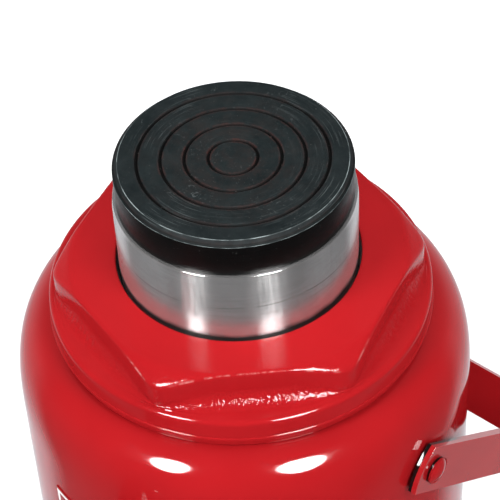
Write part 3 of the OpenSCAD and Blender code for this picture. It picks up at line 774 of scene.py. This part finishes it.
def shoulder(outer, height, base_z, steps=56):
    """Turned curve of the tank's shoulder from its mouth to its wall."""
    mouth = (MOUTH_R - SHOULDER_R) / (outer - SHOULDER_R)
    first = degrees(pi / 2 - acos(mouth ** (SHOULDER_POWER / 2)))
    return [(SHOULDER_R + (outer - SHOULDER_R) * sin(a) ** (2 / SHOULDER_POWER),
             base_z + height * max(cos(a), 0) ** (2 / SHOULDER_POWER))
            for a in arc(first, 90, steps)]


def make_tank():
    inner = TANK_R - TANK_WALL
    z0 = low("reservoir_tank").z
    base_z = low("tank_gasket_upper").z - 35.9
    outside = shoulder(TANK_R, SHOULDER_HEIGHT, base_z)
    inside = shoulder(inner, SHOULDER_HEIGHT - TANK_WALL, base_z)
    levels = [z0 + 0.8 + (base_z - z0 - 0.8) * k / 16 for k in range(15, -1, -1)]
    wall = [(TANK_R, z) for z in levels]
    foot = [(TANK_R - 0.8, z0), (inner + 0.5, z0), (inner, z0 + 0.5)]
    tank = new_mesh("reservoir_tank_finished", revolve(outside + wall + foot + inside[::-1], 256))
    finish_piece(tank, "reservoir_tank", MATERIAL_OF["enamel_red"])


def hexagon_reach(angle):
    """Distance from the axis to the hexagon's side, its upright corners softened."""
    facing = (abs(cos(radians(angle - HEX_TURN - turn))) for turn in HEX_FACINGS)
    return HEX_FLATS / 2 * sum(f ** HEX_POWER for f in facing) ** (-1 / HEX_POWER)


def soft_min(a, b, soft):
    """The smaller of two numbers, rounded over where they meet."""
    return (a + b - hypot(a - b, soft)) / 2


def cap_profile(angle):
    """Section of the cap in the half plane at this angle, as a closed loop of (radius, height)."""
    top = high("top_cap").z
    rim = high("top_cap").x
    flange_top, flange_low = top - 13.4, top - 23.2
    hole, edge, rim_edge, bead, bead_out = 43.6, 1.1, 1.9, 2.0, 0.45
    reach = hexagon_reach(angle)

    def side(z):
        """Reach of the hexagon's side at this height, where the top of each corner is chamfered."""
        return soft_min(reach, HEX_CORNER_TOP_R + (top - z) * HEX_CORNER_SLOPE, 0.8)

    flare = min(5.5, max(0.4, (rim - bead_out - rim_edge - reach) * 0.85))
    loop = [(hole, top - 4), (hole, top - 2.5), (hole, top - 1.0)]
    loop += [(hole + 0.6 * (1 - cos(a)), top - 0.6 + 0.6 * sin(a)) for a in arc(0, 90, 4)]
    land = side(top) - edge - hole - 0.6
    loop += [(hole + 0.6 + land * k / 9, top) for k in range(1, 9)]
    for a in arc(0, 90, 6):
        z = top - edge + edge * cos(a)
        loop.append((side(z) - edge + edge * sin(a), z))
    low_z = flange_top + flare
    for drop in (0.5, 1.0, 1.5, 2.0, 2.6, 3.3, 4.3, 5.5, 6.8):
        z = max(top - edge - drop, low_z)
        loop.append((side(z), z - drop * 1e-4))
    loop += [(reach + flare * (1 - cos(a)), flange_top + flare * (1 - sin(a)))
             for a in arc(0, 90, 14)]
    shelf = rim - bead_out - rim_edge - reach - flare
    loop += [(reach + flare + shelf * k / 5, flange_top - 0.05 * k) for k in range(1, 5)]
    wall = rim - bead_out
    loop += [(wall - rim_edge + rim_edge * sin(a),
              flange_top - rim_edge + (rim_edge - 0.25) * cos(a)) for a in arc(0, 90, 7)]
    bead_z = flange_low + bead
    loop += [(wall, bead_z + (flange_top - rim_edge - bead_z) * k / 4) for k in (3, 2, 1)]
    loop += [(wall + 0.05, bead_z), (wall + 0.12, bead_z - 0.05)]
    loop += [(rim - bead_out + 0.1 + (bead_out - 0.1) * sin(a), bead_z - 0.45 + 0.35 * cos(a))
             for a in arc(15, 90, 5)]
    loop += [(rim - 0.6 + 0.6 * cos(a), flange_low + 0.6 - 0.6 * sin(a)) for a in arc(0, 90, 5)]
    skirt = [(62.6, flange_low), (62, flange_low - 0.6), (62, top - 51.2), (61.2, top - 52)]
    thread = [(56.6, top - 52), (56, top - 51.4), (56, top - 20), (47, top - 20)]
    wiper_seat = [(47, top - 11), (43.3, top - 11), (43.3, top - 10), (48.5, top - 10),
                  (48.5, top - 3.5), (44.6, top - 3.5)]
    return loop + skirt + thread + wiper_seat


def make_cap():
    """The cap is swept round its axis, because its section changes from flat to corner. Its
    flare is left lumpy, as cast."""
    segments = 576
    points, faces = [], []
    for i in range(segments):
        angle = 360 * i / segments
        for radius, z in cap_profile(angle):
            points.append((radius * cos(radians(angle)), radius * sin(radians(angle)), z))
    count = len(points) // segments
    for i in range(segments):
        for k in range(count):
            a, b = i * count, (i + 1) % segments * count
            m = (k + 1) % count
            faces.append([a + k, b + k, b + m, a + m])
    flare_z = high("top_cap").z - 11.6
    rim = high("top_cap").x
    rough = []
    for x, y, z in points:
        radius = hypot(x, y)
        inside = min(1, max(0, (rim - 2.4 - radius) / 1.5))
        amount = max(0, 1 - abs(z - flare_z) / 4.2) * inside
        if radius < 58 or amount == 0:
            rough.append((x, y, z))
            continue
        lump = noise.fractal(Vector((x, y, z)) * 0.8, 0.8, 2.0, 3) * 0.15 * amount
        rough.append((x + x / radius * lump, y + y / radius * lump, z + lump * 0.6))
    cap = new_mesh("top_cap_finished", (rough, faces))
    finish_piece(cap, "top_cap", MATERIAL_OF["cast_red"])


# ---------- bail ----------

def make_rivets():
    for side, node in ((1, "handle_rivet_right"), (-1, "handle_rivet_left")):
        pivot = middle(node)
        tip = high(node).x if side > 0 else -low(node).x
        dome_r, dome_h, stem = 5.3, tip - RIVET_FACE, 3.5
        ball = (dome_r ** 2 + dome_h ** 2) / (2 * dome_h)
        dome = [(ball * sin(a), tip - ball + ball * cos(a))
                for a in arc(0, degrees(atan2(dome_r - 0.3, ball - dome_h)), 10)]
        head_r = dome_r - 0.15
        # The head reaches down to the strap at nearly full width, and the rivet's material paints
        # this part near black as painted shade under the dome
        head = [(dome_r, RIVET_FACE + 0.45), (head_r, RIVET_FACE), (head_r, RIVET_SEAT)]
        washer = [(stem, 84.1), (6.7, 84.1), (7, 83.8), (7, 83.65), (stem, 83.65)]
        profile = dome + head + [(stem, RIVET_SEAT)] + washer + [(stem, 79.6), (0, 79.6)]
        place = Matrix.Translation((0, 0, pivot.z)) @ Matrix.Rotation(radians(90 * side), 4, "Y")
        rivet = new_mesh(node + "_finished", revolve(profile, 64), place)
        finish_piece(rivet, node, RIVET)


def make_bail():
    finish_piece(rounded_copy("carry_handle", 0.6), "carry_handle", BAIL)


def make_label():
    finish_piece(rounded_copy("label_plate", 0.12, 2), "label_plate", MATERIAL_OF["label"])


# ---------- base ----------

PLATE_Z = 32              # top of the base plate
PUMP_Y = -132             # pump axis


def rounded_plate():
    """The base plate, with its corners and its ends' edges rounded."""
    x, back, front, corner = 93, 97, -167, 26
    corners = [(x, front, corner), (x, back, corner), (-x, back, corner), (-x, front, corner)]
    return prism(filleted(corners, 12), 0, PLATE_Z, 3.0, 6)


def boss(x, y, radius, z1, flare, edge):
    """Round boss on the plate, with a cast flare at its foot."""
    foot = [(radius + flare * (1 - sin(a)), PLATE_Z + flare * (1 - cos(a))) for a in arc(0, 90, 8)]
    rim = [(radius - edge + edge * cos(a), z1 - edge + edge * sin(a)) for a in arc(0, 90, 6)]
    profile = [(0, 20), (radius + flare, 20)] + foot + rim + [(0, z1)]
    return moved(revolve(profile, 96), x, y)


def moved(shape, x, y):
    """Points and faces of a shape, moved level."""
    points, faces = shape
    return [(px + x, py + y, pz) for px, py, pz in points], faces


def cut(obj, shape):
    """Takes a shape out of an object."""
    tool = new_mesh("tool", shape)
    bore = obj.modifiers.new("bore", "BOOLEAN")
    bore.object = tool
    apply_modifiers(obj)
    bpy.data.objects.remove(tool)


def joined(shapes):
    """Points and faces of several shapes in one."""
    points, faces = [], []
    for more, more_faces in shapes:
        faces += [[i + len(points) for i in face] for face in more_faces]
        points += more
    return points, faces


def make_base():
    """A casting: its blocks are fused and smoothed, then the seats that were machined are cut."""
    tank_boss = boss(0, 0, 68, 44, 1, 1)
    pump_boss = boss(0, PUMP_Y, 29, 46, 5, 1.5)
    delivery_boss = boss(43, -134, 12, 38, 2.5, 1)
    blocks = joined([rounded_plate(), pump_boss, delivery_boss, tank_boss])
    base = new_mesh("base_finished", blocks)
    fuse = base.modifiers.new("fuse", "REMESH")
    fuse.mode = "VOXEL"
    fuse.voxel_size = 1.5 * MM
    soften = base.modifiers.new("soften", "SMOOTH")
    soften.factor = 0.5
    soften.iterations = 4
    apply_modifiers(base)
    cylinder_seat = revolve([(0, 8), (30, 8), (30, 18), (56, 18), (56, 60), (0, 60)], 96)
    pump_seat = revolve([(0, 24), (24, 24), (24, 60), (0, 60)], 64)
    cut(base, cylinder_seat)
    cut(base, moved(pump_seat, 0, PUMP_Y))
    shade(base, 60)
    finish_piece(base, "base", CASTING)


def make_delivery_spring():
    """A copy of the CAD spring."""
    node = "delivery_spring"
    spring = bpy.data.objects.new(node + "_finished", frame["nodes"][node].data.copy())
    bpy.context.scene.collection.objects.link(spring)
    finish_piece(spring, node, MATERIAL_OF[SLOT_OF[node]])
    top = middle(node)
    top.z = high(node).z
    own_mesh(spring)


make_camera()
make_studio()
make_saddle()
make_ram()
make_seals()
make_tank()
make_cap()
make_rivets()
make_bail()
make_label()
make_base()
make_delivery_spring()
make_bail_panel()

# Sharp-edged CAD nodes that show, with the edge that each is given
EDGES = {"pump_cylinder": 0.5, "pump_gland_nut": 0.5, "pump_plunger": 0.4, "plunger_pin": 0.6,
         "plunger_pin_clips": 0.15, "handle_socket": 0.8, "socket_screw": 0.4, "fulcrum_bracket": 0.9,
         "bracket_bolts": 0.35, "fulcrum_pin": 0.6, "fulcrum_pin_clips": 0.15, "release_screw": 0.5,
         "release_gland": 0.5, "delivery_plug": 0.4, "safety_cover": 0.5, "filler_plug": 0.6,
         "guide_bush": 0.3}
for node, edge in EDGES.items():
    finish_piece(rounded_copy(node, edge), node, MATERIAL_OF[SLOT_OF[node]])

for name, node in frame["nodes"].items():
    node.material_slots[0].material = MATERIAL_OF[SLOT_OF[name]]
